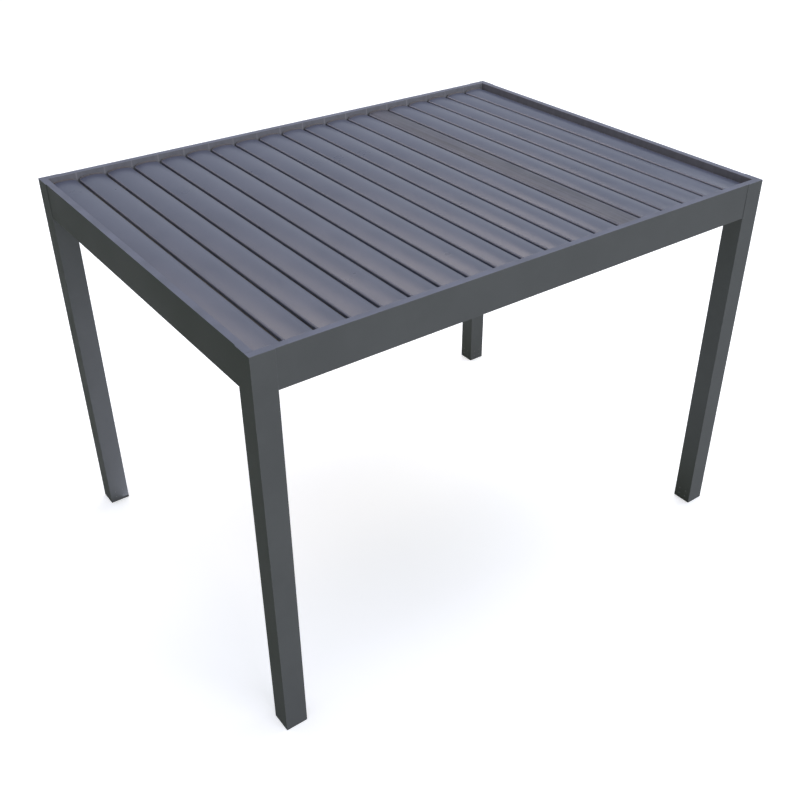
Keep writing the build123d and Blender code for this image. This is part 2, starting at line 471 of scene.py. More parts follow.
class Skin(Graph):
    """The graph of a material with a Principled shader, in the object's own coordinates."""

    def __init__(self, name: str) -> None:
        """Start the material.

        Args:
            name: The material's name.
        """
        self.material = bpy.data.materials.new(name)
        super().__init__(emptied(self.material))
        self.shader = self.add("ShaderNodeBsdfPrincipled")
        self.add("ShaderNodeOutputMaterial", {"Surface": self.shader.outputs[0]})
        coords = self.add("ShaderNodeTexCoord").outputs
        self.place, self.normal = coords["Object"], coords["Normal"]

    def effect(self, group: Tree, inputs: Values | None = None) -> Any:
        """Place a shared effect with this material's own values, and return its outputs by name."""
        values = {"Vector": self.place, **(inputs or {})}
        return self.add("ShaderNodeGroup", values, node_tree=group).outputs

    def spread(self, share: Socket, middle: float, reach: float) -> Socket:
        """Spread a number round its middle, by a share from 0 to 1."""
        return self.math("MULTIPLY_ADD", share, 2 * reach, middle - reach)

    def close(
        self, colour: Socket, rough: Socket, height: Socket, strength: float, depth: float
    ) -> Material:
        """Give the shader its colour, roughness and bump.

        Args:
            colour: The base colour.
            rough: The roughness.
            height: The height of the bump.
            strength: The bump's strength, 0 to 1.
            depth: The bump's depth in metres.

        Returns:
            The finished material.
        """
        bump = self.first("ShaderNodeBump", {"Strength": strength, "Distance": depth, "Height": height})
        for name, socket in (("Base Color", colour), ("Roughness", rough), ("Normal", bump)):
            self.tree.links.new(socket, self.shader.inputs[name])
        return self.material


@dataclass(frozen=True)
class Caps:
    """End caps drawn on the coat of the louvres, paler and warmer: their own cast metal, and a painted
    reflection.
    """

    front: float
    back: float
    # Paler, warmer colour: the caps' own metal, and a painted reflection.
    colour: Colour = (0.150, 0.138, 0.136)
    seam_shade: float = 0.35


@dataclass(frozen=True)
class RowEdges:
    """Where the long edges and the drain channels of a row of louvres lie."""

    first: float
    pitch: float
    half_width: float
    level: float
    # A painted highlight with wear along the long edges, a painted highlight on each nose, and silt that also
    # paints light into the shaded channel.
    edge_lift: float = 1.9
    nose_colour: Colour = (0.39, 0.365, 0.40)
    silt_colour: Colour = (0.19, 0.168, 0.135)


@dataclass(frozen=True)
class RainMarksAndWallLight:
    """Which walls inside the rim get a lighter, streaky layer that is painted light with the look of dried rain,
    and where painted highlight runs go down them.
    """

    across: Axis
    inside: float
    first: float
    pitch: float
    # The layer's share and colour are painted light; the run's share and colour are a painted highlight.
    film: float = 0.8
    film_colour: Colour = (0.220, 0.222, 0.236)
    run: float = 0.4
    run_colour: Colour = (0.37, 0.36, 0.355)


@dataclass(frozen=True)
class Coat:
    """A satin powder coat on aluminium."""

    name: str
    colour: Colour
    roughness: float = 0.34
    sheen_spread: float = 0.05
    cloud_depth: float = 0.05
    specular: float = 0.5
    peel_strength: float = 0.35
    peel_height: float = 0.04 * MM
    # The up-facing mask's share and colour: a light dusting, or on the frame's coats painted light on the tops.
    dust: float = 0.12
    dust_evenness: float = 0.0
    dust_colour: Colour = (0.22, 0.22, 0.23)
    dust_roughness: float = 0.25
    streaks: float = 0.0
    streak_stretch: Point = (55.0, 0.8, 55.0)
    streak_range: tuple[float, float] = (0.35, 0.65)
    # Edges lighter by this factor: wear, and a painted highlight.
    edge_lift: float = 1.5
    edge_width: float = 4.0 * MM
    edge_box: tuple[Point, Point] | None = None
    caps: Caps | None = None
    row_edges: RowEdges | None = None
    rain: RainMarksAndWallLight | None = None

    def build(self, effects: Effects) -> Material:
        """Build the material.

        Args:
            effects: The shared node groups.

        Returns:
            The material.
        """
        skin = Skin(self.name)
        powder = skin.effect(effects.powder)
        cloud = powder["Cloud"]
        colour = skin.mix(cloud, *shades(self.colour, self.cloud_depth))
        if self.streaks > 0.0:
            lines = skin.effect(effects.drawn, {"Stretch": self.streak_stretch})["Lines"]
            colour = skin.mix(skin.span(lines, *self.streak_range), *shades(self.colour, self.streaks))
        # Lighter edges: wear, and a painted highlight.
        if self.edge_box is not None:
            low, high = self.edge_box
            worn = skin.effect(effects.worn_edge, {"Low": low, "High": high, "Width": self.edge_width})
            colour = skin.mix(worn["Mask"], colour, scaled(self.colour, self.edge_lift))
        # Up-facing mask: a light dusting on most coats; on the frame's coats a near-even paler blue that is
        # painted light on the tops.
        settled = {"Normal": skin.normal, "Amount": self.dust, "Evenness": self.dust_evenness}
        dust = skin.effect(effects.dust, settled)["Mask"]
        colour = skin.mix(dust, colour, self.dust_colour)
        for mask, tint in self._marks(skin, effects):
            colour = skin.mix(mask, colour, tint)
        rough = skin.spread(cloud, self.roughness, self.sheen_spread)
        rough = skin.math("MULTIPLY_ADD", dust, self.dust_roughness, rough, clamp=True)
        skin.shader.inputs["Specular IOR Level"].default_value = self.specular
        return skin.close(colour, rough, powder["Height"], self.peel_strength, self.peel_height)

    def _marks(self, skin: Skin, effects: Effects) -> list[tuple[Socket, Colour]]:
        """Set out the marks that this coat has.

        Args:
            skin: The material's graph.
            effects: The shared node groups.

        Returns:
            The mask and the colour of each mark, the lowest one first.
        """
        marks = []
        row, rain = self.row_edges, self.rain
        if row is not None:
            values = {"Normal": skin.normal, "First": row.first, "Pitch": row.pitch}
            values.update({"Half Width": row.half_width, "Level": row.level})
            edges = skin.effect(effects.row_edge, values)
            # Lighter long edges: wear, and a painted highlight.
            marks.append((edges["Edge"], scaled(self.colour, row.edge_lift)))
            # A painted highlight on each nose.
            marks.append((edges["Nose"], row.nose_colour))
            # Silt in the channel, which also paints light into its shade.
            marks.append((edges["Silt"], row.silt_colour))
        if self.caps is not None:
            caps = skin.effect(effects.end_caps, {"Front": self.caps.front, "Back": self.caps.back})
            # End caps in a paler, warmer colour: their metal, and a painted reflection.
            marks.append((caps["Cap"], self.caps.colour))
            marks.append((caps["Seam"], scaled(self.colour, self.caps.seam_shade)))
        if rain is not None:
            parts = skin.split(skin.place)
            across, along = ("X", "Y") if rain.across is Axis.X else ("Y", "X")
            values = {"Depth": skin.math("ABSOLUTE", parts[across]), "Along": parts[along]}
            values.update({"Inside": rain.inside, "First": rain.first, "Pitch": rain.pitch})
            wet = skin.effect(effects.rain, values)
            # A lighter streaky layer on the inner walls: painted light.
            marks.append((skin.times(wet["Film"], rain.film), rain.film_colour))
            # A painted highlight run opposite each roof gap.
            marks.append((skin.times(wet["Run"], rain.run), rain.run_colour))
        return marks


@dataclass(frozen=True)
class Metal:
    """Bare metal with lines along its grain."""

    name: str
    colour: Colour
    roughness: float
    stretch: Point
    tarnish: float = 0.12
    cloud_scale: float = 14.0
    line_spread: float = 0.11
    line_strength: float = 0.5
    line_height: float = 0.02 * MM

    def build(self, effects: Effects) -> Material:
        """Build the material from the shared lines and clouding.

        Args:
            effects: The shared node groups.

        Returns:
            The material.
        """
        skin = Skin(self.name)
        lines = skin.effect(effects.drawn, {"Stretch": self.stretch})["Lines"]
        cloud = skin.effect(effects.powder, {"Cloud Scale": self.cloud_scale})["Cloud"]
        colour = skin.mix(cloud, scaled(self.colour, 1 - self.tarnish), self.colour)
        rough = skin.spread(lines, self.roughness, self.line_spread)
        skin.shader.inputs["Metallic"].default_value = 1.0
        return skin.close(colour, rough, lines, self.line_strength, self.line_height)


@dataclass(frozen=True)
class Polymer:
    """Rubber, sealant or moulded plastic."""

    name: str
    colour: Colour
    roughness: float
    grain_scale: float = 900.0
    cloud_scale: float = 9.0
    cloud_shades: tuple[float, float] = (0.82, 1.15)
    sheen_spread: float = 0.06
    grain_strength: float = 0.4
    grain_height: float = 0.05 * MM

    def build(self, effects: Effects) -> Material:
        """Build the material from the shared grain.

        Args:
            effects: The shared node groups.

        Returns:
            The material.
        """
        skin = Skin(self.name)
        scales = {"Grain Scale": self.grain_scale, "Cloud Scale": self.cloud_scale}
        powder = skin.effect(effects.powder, scales)
        colour = skin.mix(powder["Cloud"], *(scaled(self.colour, shade) for shade in self.cloud_shades))
        rough = skin.spread(powder["Cloud"], self.roughness, self.sheen_spread)
        return skin.close(colour, rough, powder["Height"], self.grain_strength, self.grain_height)


class Shaper(Group):
    """A geometry group that takes points or lines, some values and a finish, and makes fittings."""

    GEOMETRY = "NodeSocketGeometry"
    FACING = "facing"
    WELD = 0.001 * MM

    def __init__(self, name: str, values: Values) -> None:
        """Start the group with its sockets."""
        inputs = {"Geometry": self.GEOMETRY, **values, "Finish": "NodeSocketMaterial"}
        super().__init__(name, "GeometryNodeTree", inputs, {"Geometry": self.GEOMETRY})

    def circle(self, sides: Any, radius: Any) -> Socket:
        """Return a round curve."""
        return self.first("GeometryNodeCurvePrimitiveCircle", {"Resolution": sides, "Radius": radius})

    def swept(self, curve: Socket, section: Socket, ends: bool = False) -> Socket:
        """Sweep a section along a curve, with closed ends where these are asked for."""
        inputs = {"Curve": curve, "Profile Curve": section, "Fill Caps": ends}
        return self.first("GeometryNodeCurveToMesh", inputs)

    def raised(self, geometry: Socket, height: Socket) -> Socket:
        """Move a geometry up by a height."""
        inputs = {"Geometry": geometry, "Translation": self.vector(Z=height)}
        return self.first("GeometryNodeTransform", inputs)

    def joined(self, one: Socket, *others: Socket) -> Socket:
        """Join geometries.

        Args:
            one: The first geometry.
            others: The others.

        Returns:
            All of them as one.
        """
        node = self.add("GeometryNodeJoinGeometry", {"Geometry": one})
        for other in others:
            self.tree.links.new(other, node.inputs[0])
        return node.outputs[0]

    def sealed(self, body: Socket, seat: Socket) -> Socket:
        """Close a body that was drawn up from a seat with that seat, turned over and welded on."""
        joined = self.joined(body, self.first("GeometryNodeFlipFaces", {"Mesh": seat}))
        return self.first("GeometryNodeMergeByDistance", {"Geometry": joined, "Distance": self.WELD})

    def set_out(self, piece: Socket) -> Tree:
        """Put a piece on every point, its Z along the point's facing, and end the tree.

        Args:
            piece: The piece to repeat.

        Returns:
            The finished tree.
        """
        inputs = {"Name": self.FACING}
        facing = self.first("GeometryNodeInputNamedAttribute", inputs, data_type="FLOAT_VECTOR")
        turn = self.first("FunctionNodeAlignRotationToVector", {"Vector": facing}, axis="Z")
        inputs = {"Points": self["Geometry"], "Instance": piece, "Rotation": turn}
        return self.close(self.first("GeometryNodeInstanceOnPoints", inputs))

    def close(self, geometry: Socket) -> Tree:
        """End the tree in real geometry with its finish on it.

        Args:
            geometry: What the tree made.

        Returns:
            The finished tree.
        """
        real = self.first("GeometryNodeRealizeInstances", {"Geometry": geometry})
        dressed = {"Geometry": real, "Material": self["Finish"]}
        self.add("NodeGroupOutput", {"Geometry": self.first("GeometryNodeSetMaterial", dressed)})
        return self.tree


@dataclass(frozen=True)
class Head:
    """The sizes of a screw's or a rivet's head, named as the inputs of its tree are."""

    head_radius: float
    head_height: float
    socket_share: float = 0.45
    sides: int = 16


@dataclass(frozen=True)
class Ring:
    """The sizes of a bush, a washer or a clip, named as the inputs of its tree are."""

    inner_radius: float
    outer_radius: float
    depth: float
    sides: int = 24


class Makers:
    """The geometry node trees that make fittings, each built once."""

    HEAD_STAGES = ((0.5, 0.94), (0.35, 0.78), (0.15, "Socket Share"), (-0.6, 0.92))
    WIRE_SIDES = 8
    ARCH_STEPS = 20
    HOOP_SIDES = 28
    HOOPS = (1.0, 0.72, 0.38)

    def __init__(self) -> None:
        """Build the trees."""
        self.heads = self._heads()
        self.rings = self._rings()
        self.bead = self._bead()
        self.plate = self._plate()
        self.strainers = self._strainers()

    def _heads(self) -> Tree:
        """Build the tree of screw and rivet heads, drawn up in stages with a sunk socket.

        Returns:
            The tree.
        """
        values = {"Head Radius": 0.004, "Head Height": 0.002, "Socket Share": 0.45, "Sides": 16}
        tree = Shaper("Fastener Heads", values)
        inputs = {"Vertices": tree["Sides"], "Radius": tree["Head Radius"]}
        disc = tree.first("GeometryNodeMeshCircle", inputs, fill_type="NGON")
        body = disc
        chosen = {}
        for rise, share in self.HEAD_STAGES:
            inputs = {"Mesh": body, "Offset Scale": tree.times(tree["Head Height"], rise), **chosen}
            step = tree.add("GeometryNodeExtrudeMesh", inputs, mode="FACES").outputs
            chosen = {"Selection": step["Top"]}
            scale = tree[share] if isinstance(share, str) else share
            inputs = {"Geometry": step["Mesh"], "Scale": scale, **chosen}
            body = tree.first("GeometryNodeScaleElements", inputs)
        return tree.set_out(tree.sealed(body, disc))

    def _rings(self) -> Tree:
        """Build the tree of flat rings: bushes, washers and clips.

        Returns:
            The tree.
        """
        values = {"Inner Radius": 0.006, "Outer Radius": 0.012, "Depth": 0.003, "Sides": 24}
        tree = Shaper("Flat Rings", values)
        inner, outer, depth = (tree[name] for name in ("Inner Radius", "Outer Radius", "Depth"))
        middle = tree.times(tree.math("ADD", inner, outer), 0.5)
        sizes = {"Width": tree.math("SUBTRACT", outer, inner), "Height": depth}
        section = tree.first("GeometryNodeCurvePrimitiveQuadrilateral", sizes)
        ring = tree.swept(tree.circle(tree["Sides"], middle), section)
        return tree.set_out(tree.raised(ring, tree.times(depth, 0.5)))

    def _bead(self) -> Tree:
        """Build the tree of a round bead along a line: a seal or a run of sealant.

        Returns:
            The tree.
        """
        tree = Shaper("Bead", {"Radius": 0.002, "Sides": 10})
        line = tree.first("GeometryNodeMeshToCurve", {"Mesh": tree["Geometry"]})
        bead = tree.swept(line, tree.circle(tree["Sides"], tree["Radius"]), ends=True)
        return tree.close(tree.first("GeometryNodeSetShadeSmooth", {"Geometry": bead}))

    def _plate(self) -> Tree:
        """Build the tree of an upright plate that stands on a line in a plane of X and Z.

        Returns:
            The tree.
        """
        tree = Shaper("Upright Plate", {"Rise": 0.008, "Thickness": 0.003})
        inputs = {"Mesh": tree["Geometry"], "Offset": tree.vector(Z=tree["Rise"])}
        wall = tree.first("GeometryNodeExtrudeMesh", inputs, mode="EDGES")
        inputs = {"Mesh": wall, "Offset": tree.vector(Y=tree["Thickness"]), "Individual": False}
        return tree.close(tree.sealed(tree.first("GeometryNodeExtrudeMesh", inputs, mode="FACES"), wall))

    def _strainers(self) -> Tree:
        """Build the tree of leaf strainers: wires arched over a drain, with hoops round them.

        Returns:
            The tree.
        """
        values = {"Radius": 0.026, "Rise": 0.022, "Wire Radius": 0.0013, "Wires": 5}
        tree = Shaper("Strainers", values)
        radius, rise, wires = tree["Radius"], tree["Rise"], tree["Wires"]
        section = tree.circle(self.WIRE_SIDES, tree["Wire Radius"])
        pull = tree.times(rise, 4 / 3)
        inputs = {"Resolution": self.ARCH_STEPS}
        for end, side in (("Start", tree.times(radius, -1.0)), ("End", radius)):
            inputs[end] = tree.vector(X=side)
            inputs[end + " Handle"] = tree.vector(X=side, Z=pull)
        arch = tree.first("GeometryNodeCurvePrimitiveBezierSegment", inputs)
        rib = tree.swept(arch, section, ends=True)
        inputs = {"Count": wires, "Start Location": ORIGIN, "Offset": ORIGIN}
        crossing = tree.first("GeometryNodeMeshLine", inputs)
        share = tree.math("DIVIDE", tree.first("GeometryNodeInputIndex"), wires)
        turn = tree.vector(Z=tree.times(share, math.pi))
        inputs = {"Points": crossing, "Instance": rib, "Rotation": turn}
        ribs = tree.first("GeometryNodeInstanceOnPoints", inputs)
        hoops = []
        for along in self.HOOPS:
            loop = tree.circle(self.HOOP_SIDES, tree.times(radius, (3 * along - along**3) / 2))
            hoops.append(tree.raised(tree.swept(loop, section), tree.times(rise, 1 - along**2)))
        smooth = tree.first("GeometryNodeSetShadeSmooth", {"Geometry": tree.joined(ribs, *hoops)})
        return tree.set_out(smooth)

    def fittings(self, placed: Iterable[Placed], sizes: Head | Ring, finish: Material) -> Job:
        """Ask for heads or rings at the given places.

        Args:
            placed: Place and facing of each of them.
            sizes: Their sizes.
            finish: Their material.

        Returns:
            The job for make.
        """
        tree = self.heads if isinstance(sizes, Head) else self.rings
        values = {name.replace("_", " ").title(): size for name, size in vars(sizes).items()}
        return tree, points_mesh(placed), {**values, "Finish": finish}

    def make(self, name: str, *jobs: Job) -> bpy.types.Object:
        """Run trees over meshes and join their results in one plain object at the origin.

        Args:
            name: The new object's name.
            jobs: For each run, the tree, its mesh of points or lines, and its inputs by name.

        Returns:
            The finished object.
        """
        parts = []
        for number, (tree, mesh, values) in enumerate(jobs):
            carrier = show(f"{name}_{number}", mesh)
            modifier = carrier.modifiers.new("Make", "NODES")
            modifier.node_group = tree
            for item in tree.interface.items_tree:
                if item.item_type == "SOCKET" and item.in_out == "INPUT" and item.name in values:
                    modifier[item.identifier] = values[item.name]
            carrier.update_tag()
            evaluated = carrier.evaluated_get(bpy.context.evaluated_depsgraph_get())
            parts.append(bpy.data.meshes.new_from_object(evaluated))
            bpy.data.objects.remove(carrier)
        return joined_object(name, parts)


def joined_object(name: str, parts: Sequence[bpy.types.Mesh]) -> bpy.types.Object:
    """Join plain meshes into one object at the origin.

    Args:
        name: The object's name.
        parts: The meshes, each with one material.

    Returns:
        The object, linked to the scene.
    """
    objects = [show(f"{name}_{number}" if number else name, mesh) for number, mesh in enumerate(parts)]
    if len(objects) > 1:
        with bpy.context.temp_override(active_object=objects[0], selected_editable_objects=objects):
            bpy.ops.object.join()
    objects[0].data.name = name
    return objects[0]


def points_mesh(placed: Iterable[Placed]) -> bpy.types.Mesh:
    """Make a mesh of loose points that each face a direction.

    Args:
        placed: Place and facing of each point.

    Returns:
        The mesh, with its facings as an attribute.
    """
    placed = list(placed)
    mesh = bpy.data.meshes.new("points")
    mesh.from_pydata([place for place, _ in placed], [], [])
    facing = mesh.attributes.new(Shaper.FACING, "FLOAT_VECTOR", "POINT")
    for number, (_, direction) in enumerate(placed):
        facing.data[number].vector = direction
    return mesh


def line_mesh(points: Sequence[Point], closed: bool = False) -> bpy.types.Mesh:
    """Make a mesh of one line through the points.

    Args:
        points: The points in order.
        closed: Whether the line goes back to its first point.

    Returns:
        The mesh.
    """
    edges = [(n, n + 1) for n in range(len(points) - 1)]
    if closed:
        edges.append((len(points) - 1, 0))
    mesh = bpy.data.meshes.new("line")
    mesh.from_pydata(list(points), edges, [])
    return mesh


def dress(node: str, material: Material) -> None:
    """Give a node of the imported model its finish.

    Args:
        node: The node's name.
        material: The finish.
    """
    slots = frame["nodes"][node].data.materials
    slots.clear()
    slots.append(material)
    LOG.info("%s is dressed in %s", node, material.name)


def keep(piece: bpy.types.Object, body: str) -> None:
    """Fix a piece to its body and report it.

    Args:
        piece: The piece.
        body: The body that it rides on.
    """
    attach(piece, body)
    LOG.info("%s rides on %s, %d faces", piece.name, body, len(piece.data.polygons))


@dataclass
class Finishes:
    """Every finish of the gazebo, built once."""

    effects: Effects
    anthracite: Colour = srgb(81, 83, 84)
    louvre_grey: Colour = srgb(69, 73, 88)
    louvre_dull: Colour = srgb(58, 58, 68)
    # Paler, warmer grey of the cast caps: their own metal, and a painted reflection.
    cap_grey: Colour = srgb(112, 107, 106)
    built: dict[str, Material] = field(default_factory=dict)

    def of(self, finish: Coat | Metal | Polymer) -> Material:
        """Return a finish's material, which is built at its first use.

        Args:
            finish: The finish.

        Returns:
            Its material.
        """
        if finish.name not in self.built:
            self.built[finish.name] = finish.build(self.effects)
        return self.built[finish.name]

    def stainless(self) -> Material:
        """Return the steel of screws, rivets and clips."""
        return self.of(Metal("stainless_fasteners", (0.55, 0.55, 0.56), 0.32, (60.0, 60.0, 60.0)))

    def cast_cap(self) -> Material:
        """Return the coat of the louvres' cast end caps, paler and warmer: their own metal, and a painted
        reflection.
        """
        return self.of(Coat("cap_coat", self.cap_grey, roughness=0.45, dust=0.2))

    def rubber(self) -> Material:
        """Return the black rubber of the louvres' seals."""
        return self.of(Polymer("seal_rubber", (0.018, 0.018, 0.019), 0.62))

    def bearing(self) -> Material:
        """Return the black plastic of bushes and bearing rings."""
        return self.of(Polymer("bearing_plastic", (0.025, 0.025, 0.027), 0.4))

    def sealant(self) -> Material:
        """Return the grey sealant of the gutters."""
        return self.of(Polymer("gutter_sealant", (0.10, 0.105, 0.11), 0.5, 300.0))


@dataclass
class PostsAndRim:
    """Posts, feet and the beams that they carry."""

    screw: Head = Head(5.5 * MM, 1.6 * MM)
    screw_spread: float = 30.0 * MM
    screw_levels: tuple[float, ...] = (45.0 * MM, 95.0 * MM)
    # Paler blue laid on the up-facing faces of posts and beams: painted light on their tops.
    film_colour: Colour = (0.168, 0.174, 0.208)
    # Share and colour of a lighter layer on the right beam's inner wall: painted light on a wall in shade.
    side_film: float = 0.9
    side_film_colour: Colour = (0.27, 0.25, 0.28)
    nowhere: float = -10.0
    corners: tuple[str, ...] = ("front_left", "front_right", "back_left", "back_right")

    def dress(self, finishes: Finishes, row: "LouvreRow") -> None:
        """Coat the posts and beams and galvanise the feet.

        Args:
            finishes: The finishes built so far.
            row: The louvres, whose gaps set where painted highlight runs go down the back beam's inner wall.
        """
        # Near-full, even cover of the up-facing mask in a paler blue: painted light on the tops of posts and
        # beams.
        outdoors = {"roughness": 0.65, "specular": 0.04, "dust": 0.95, "dust_evenness": 0.7}
        outdoors["dust_colour"] = self.film_colour

        def coat(name: str, low: Vector, high: Vector, rain: RainMarksAndWallLight | None = None) -> Material:
            """Return the coat of a box of the frame: worn edges with a painted highlight, painted light on its
            tops, and painted light on inner walls where asked.
            """
            box = (tuple(low), tuple(high))
            return finishes.of(Coat(name, finishes.anthracite, edge_box=box, rain=rain, **outdoors))

        post_coat = coat("post_coat", *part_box("post_back_right"))
        steel = finishes.of(Metal("foot_steel", (0.50, 0.51, 0.52), 0.42, (30.0, 30.0, 30.0), tarnish=0.3))
        for corner in self.corners:
            dress("post_" + corner, post_coat)
            dress("foot_" + corner, steel)
        first, pitch = row.spacing()
        low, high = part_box("beam_back")
        low.x = self.nowhere
        # Painted light on the back beam's inner wall, with a painted highlight run opposite each roof gap.
        rain = RainMarksAndWallLight(Axis.Y, low.y, first + pitch / 2, pitch)
        back = coat("beam_coat_back", low, high, rain)
        low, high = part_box("beam_right")
        low.y = self.nowhere
        # Painted light on the right beam's inner wall; its runs are set so far off that none shows.
        rain = RainMarksAndWallLight(
            Axis.X, low.x, self.nowhere, -2 * self.nowhere, self.side_film, self.side_film_colour
        )
        right = coat("beam_coat_right", low, high, rain)
        for side, material in (("front", back), ("back", back), ("left", right), ("right", right)):
            dress("beam_" + side, material)

    def fix(self, makers: Makers, finishes: Finishes) -> None:
        """Add the screws that hold each post to its foot, on the two faces that look inwards.

        Args:
            makers: The geometry trees.
            finishes: The finishes built so far.
        """
        placed = []
        for corner in self.corners:
            low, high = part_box("post_" + corner)
            middle = (low + high) / 2
            x_side, y_side = math.copysign(1.0, middle.x), math.copysign(1.0, middle.y)
            inner_x = low.x if x_side > 0 else high.x
            inner_y = low.y if y_side > 0 else high.y
            for level in self.screw_levels:
                for along in (-self.screw_spread, self.screw_spread):
                    placed.append(((inner_x, middle.y + along, level), Axis.X.turned(-x_side)))
                    placed.append(((middle.x + along, inner_y, level), Axis.Y.turned(-y_side)))
        coat = finishes.of(Coat("post_screw_coat", finishes.anthracite, roughness=0.42))
        screws = makers.make("post_foot_screws", makers.fittings(placed, self.screw, coat))
        keep(screws, FRAME_BODY)


@dataclass
class Gutters:
    """Gutter runs with the rivets, sealant and strainers that finish them."""

    wall: float = 2.5 * MM
    run_width: float = 100.0 * MM
    rivet: Head = Head(4.5 * MM, 1.6 * MM, socket_share=0.3)
    rivet_spacing: float = 290.0 * MM
    rivet_drop: float = 14.0 * MM
    bead_radius: float = 2.4 * MM
    strainer_radius: float = 25.0 * MM
    strainer_rise: float = 24.0 * MM
    end_margin: float = 120.0 * MM
    shade: float = 0.9

    def dress(self, finishes: Finishes) -> None:
        """Coat the four runs.

        Args:
            finishes: The finishes built so far.
        """
        grey = scaled(finishes.anthracite, self.shade)
        coat = finishes.of(Coat("gutter_coat", grey, roughness=0.4, dust=0.3))
        for side in ("front", "back", "left", "right"):
            dress("gutter_" + side, coat)

    def _rivets(self) -> list[Placed]:
        """Place the rivets along the upright that stands against each beam.

        Returns:
            Place and facing of each rivet.
        """
        front, back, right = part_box("gutter_front")[1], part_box("gutter_back")[1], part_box("gutter_right")[1]
        level = front.z - self.rivet_drop
        runs = (
            (Axis.Y, front.x - self.end_margin, back.y - self.wall),
            (Axis.X, right.y - self.end_margin / 2, right.x - self.wall),
        )
        placed = []
        for across, reach, depth in runs:
            count = round(2 * reach / self.rivet_spacing)
            for number in range(count + 1):
                along = -reach + 2 * reach * number / count
                for side in (-1, 1):
                    spot = (along, side * depth) if across is Axis.Y else (side * depth, along)
                    placed.append(((*spot, level), across.turned(-side)))
        return placed

    def finish(self, makers: Makers, finishes: Finishes) -> None:
        """Add rivets, the bead of sealant round the top and a strainer over each drain.

        Args:
            makers: The geometry trees.
            finishes: The finishes built so far.
        """
        low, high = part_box("gutter_front")
        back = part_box("gutter_back")[1].y
        steel = finishes.stainless()
        rivets = makers.make("gutter_rivets", makers.fittings(self._rivets(), self.rivet, steel))
        keep(rivets, FRAME_BODY)
        x, y, z = high.x - self.wall / 2, back - self.wall / 2, high.z
        loop = line_mesh([(sx * x, sy * y, z) for sx, sy in SQUARE], closed=True)
        values = {"Radius": self.bead_radius, "Sides": 10, "Finish": finishes.sealant()}
        keep(makers.make("gutter_sealant", (makers.bead, loop, values)), FRAME_BODY)
        x, y, z = high.x - self.run_width / 2, back - self.run_width / 2, low.z + self.wall
        places = points_mesh(((sx * x, sy * y, z), Axis.Z.value) for sx in (-1, 1) for sy in (-1, 1))
        values = {"Radius": self.strainer_radius, "Rise": self.strainer_rise, "Finish": steel}
        strainers = makers.make("drain_strainers", (makers.strainers, places, values))
        keep(strainers, FRAME_BODY)


